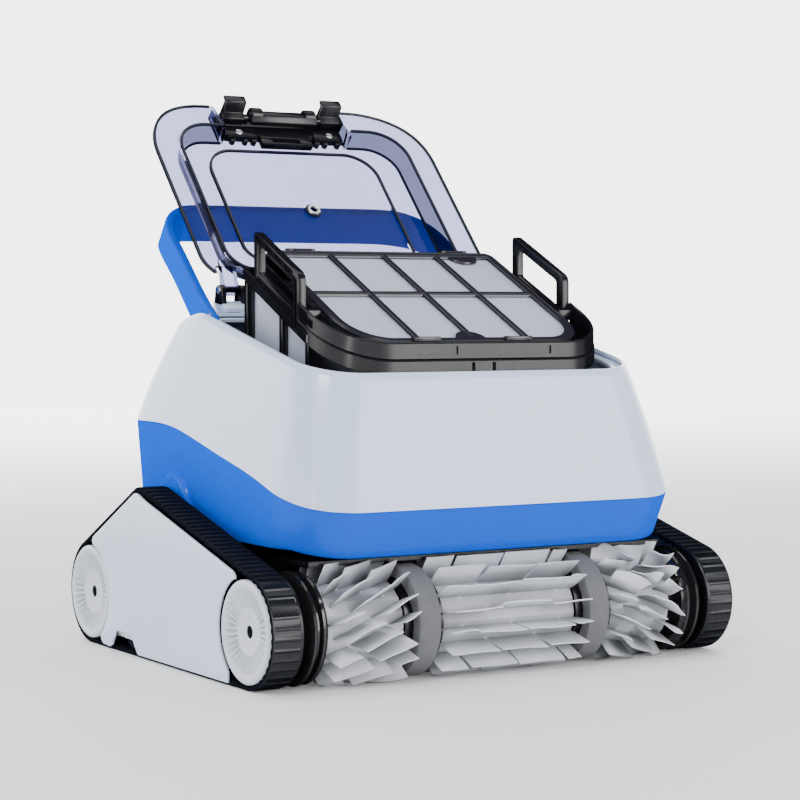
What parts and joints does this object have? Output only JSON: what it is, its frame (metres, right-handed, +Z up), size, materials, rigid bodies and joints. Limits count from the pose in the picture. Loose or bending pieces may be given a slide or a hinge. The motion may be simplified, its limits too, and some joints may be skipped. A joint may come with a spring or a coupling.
{
  "type": "robotic pool cleaner",
  "caption": "Tracked pool-cleaning robot with bladed roller brushes, a clear lid standing open and a filter basket raised out of its hull, plus a hooped carry handle.",
  "frame": {"origin": "on the floor under the middle of the machine's overall length and width", "axes": "+X to the machine's side that is on the right seen from its front, +Y to its rear, +Z up; the front brush faces -Y"},
  "size_m": [0.4, 0.3736, 0.439],
  "materials": {
    "grey_shell": "gloss, cool light grey",
    "blue_shell": "gloss, bright blue",
    "black_plastic": "satin black",
    "cover_plastic": "satin grey-white",
    "clear_cover": "clear smoke-tinted polycarbonate",
    "belt_rubber": "matt black ribbed rubber",
    "filter_mesh": "fine light grey filter mesh",
    "sponge": "open-cell mid-grey sponge",
    "blade_pvc": "soft white-grey blades",
    "axle_steel": "plain ground steel"
  },
  "bodies": {
    "hull": {"upper_shell": "grey_shell", "lower_shell": "blue_shell", "opening_frame": "grey_shell", "chassis_tub": "black_plastic", "carry_handle": "blue_shell", "pump_unit": "black_plastic", "outlet_grille": "black_plastic", "cable_gland": "black_plastic", "hinge_block_left": "black_plastic", "track_belt_left": "belt_rubber", "side_cover_left": "cover_plastic", "track_frame_left": "black_plastic", "drive_motor_left": "black_plastic", "hinge_block_right": "black_plastic", "track_belt_right": "belt_rubber", "side_cover_right": "cover_plastic", "track_frame_right": "black_plastic", "drive_motor_right": "black_plastic"},
    "impeller": {"impeller": "black_plastic"},
    "lid": {"lid_cover": "clear_cover", "latch_base": "black_plastic"},
    "latch": {"latch_lever": "black_plastic"},
    "basket_carrier": {"basket_seat_frame": "black_plastic"},
    "basket": {"basket_tub": "black_plastic", "basket_screen_back": "filter_mesh", "basket_screen_left": "filter_mesh", "basket_screen_right": "filter_mesh", "basket_upper_frame": "black_plastic", "basket_handle_left": "black_plastic", "basket_handle_right": "black_plastic"},
    "basket_panel": {"panel_frame": "black_plastic", "panel_mesh": "filter_mesh"},
    "front_brush": {"front_axle": "axle_steel", "front_brush_core": "black_plastic", "front_blades_left": "blade_pvc", "front_blades_middle": "blade_pvc", "front_blades_right": "blade_pvc", "front_foam_left": "sponge", "front_foam_right": "sponge", "front_left_wheel": "black_plastic", "front_left_hub": "cover_plastic"},
    "front_right_wheel": {"front_right_wheel": "black_plastic", "front_right_hub": "cover_plastic"},
    "front_flap": {"front_flap": "belt_rubber"},
    "rear_brush": {"rear_axle": "axle_steel", "rear_brush_core": "black_plastic", "rear_blades_left": "blade_pvc", "rear_blades_middle": "blade_pvc", "rear_blades_right": "blade_pvc", "rear_foam_left": "sponge", "rear_foam_right": "sponge", "rear_left_wheel": "black_plastic", "rear_left_hub": "cover_plastic"},
    "rear_right_wheel": {"rear_right_wheel": "black_plastic", "rear_right_hub": "cover_plastic"},
    "rear_flap": {"rear_flap": "belt_rubber"},
    "drive_pulley_left": {"drive_pulley_left": "black_plastic"},
    "idler_roller_left": {"idler_roller_left": "black_plastic"},
    "drive_pulley_right": {"drive_pulley_right": "black_plastic"},
    "idler_roller_right": {"idler_roller_right": "black_plastic"}
  },
  "joints": [
    {"name": "lid_hinge", "type": "hinge", "parent": "hull", "child": "lid", "pos_m": [0, 0.0475, 0.277], "axis": [1, 0, 0], "range_deg": [0, 147]},
    {"name": "latch_turn", "type": "hinge", "parent": "lid", "child": "latch", "pos_m": [0, 0.16951, 0.42147], "axis": [-1, 0, 0], "range_deg": [-30, 0], "stiffness_Nm_per_rad": 0.05, "springref_deg": 20.05},
    {"name": "basket_seat", "type": "slide", "parent": "hull", "child": "basket_carrier", "axis": [0, 0, 1], "range_m": [-0.074, 0]},
    {"name": "basket_lift", "type": "slide", "parent": "basket_carrier", "child": "basket", "axis": [0, 0, -1], "range_m": [-0.15, 0]},
    {"name": "panel_hinge", "type": "hinge", "parent": "basket", "child": "basket_panel", "pos_m": [0, 0.0095, 0.3061], "axis": [1, 0, 0], "range_deg": [-80, 0]},
    {"name": "front_brush_turn", "type": "hinge", "parent": "hull", "child": "front_brush", "pos_m": [0, -0.1465, 0.0405], "axis": [1, 0, 0], "continuous": true},
    {"name": "rear_brush_turn", "type": "hinge", "parent": "hull", "child": "rear_brush", "pos_m": [0, 0.1175, 0.0405], "axis": [1, 0, 0], "continuous": true},
    {"name": "left_pulley_turn", "type": "hinge", "parent": "hull", "child": "drive_pulley_left", "pos_m": [-0.185, 0.0285, 0.112], "axis": [1, 0, 0], "continuous": true},
    {"name": "left_idler_turn", "type": "hinge", "parent": "hull", "child": "idler_roller_left", "pos_m": [-0.185, 0.0475, 0.0142], "axis": [1, 0, 0], "continuous": true},
    {"name": "front_right_wheel_turn", "type": "hinge", "parent": "hull", "child": "front_right_wheel", "pos_m": [0.185, -0.1465, 0.0405], "axis": [1, 0, 0], "continuous": true},
    {"name": "rear_right_wheel_turn", "type": "hinge", "parent": "hull", "child": "rear_right_wheel", "pos_m": [0.185, 0.1175, 0.0405], "axis": [1, 0, 0], "continuous": true},
    {"name": "right_pulley_turn", "type": "hinge", "parent": "hull", "child": "drive_pulley_right", "pos_m": [0.185, 0.0285, 0.112], "axis": [1, 0, 0], "continuous": true},
    {"name": "right_idler_turn", "type": "hinge", "parent": "hull", "child": "idler_roller_right", "pos_m": [0.185, 0.0475, 0.0142], "axis": [1, 0, 0], "continuous": true},
    {"name": "impeller_spin", "type": "hinge", "parent": "hull", "child": "impeller", "pos_m": [0, 0.0715, 0.218], "axis": [0, 0, 1], "continuous": true},
    {"name": "front_flap_hinge", "type": "hinge", "parent": "hull", "child": "front_flap", "pos_m": [0, -0.0675, 0.021], "axis": [1, 0, 0], "range_deg": [0, 50]},
    {"name": "rear_flap_hinge", "type": "hinge", "parent": "hull", "child": "rear_flap", "pos_m": [0, 0.0385, 0.021], "axis": [-1, 0, 0], "range_deg": [0, 50]}
  ],
  "couplings": [
    {"joint": "basket_seat", "follows": "lid_hinge", "m_per_rad": -0.028843},
    {"joint": "rear_brush_turn", "follows": "front_brush_turn", "ratio": 1},
    {"joint": "left_pulley_turn", "follows": "front_brush_turn", "ratio": 2.6552},
    {"joint": "left_idler_turn", "follows": "front_brush_turn", "ratio": 3.7245},
    {"joint": "rear_right_wheel_turn", "follows": "front_right_wheel_turn", "ratio": 1},
    {"joint": "right_pulley_turn", "follows": "front_right_wheel_turn", "ratio": 2.6552},
    {"joint": "right_idler_turn", "follows": "front_right_wheel_turn", "ratio": 3.7245}
  ]
}
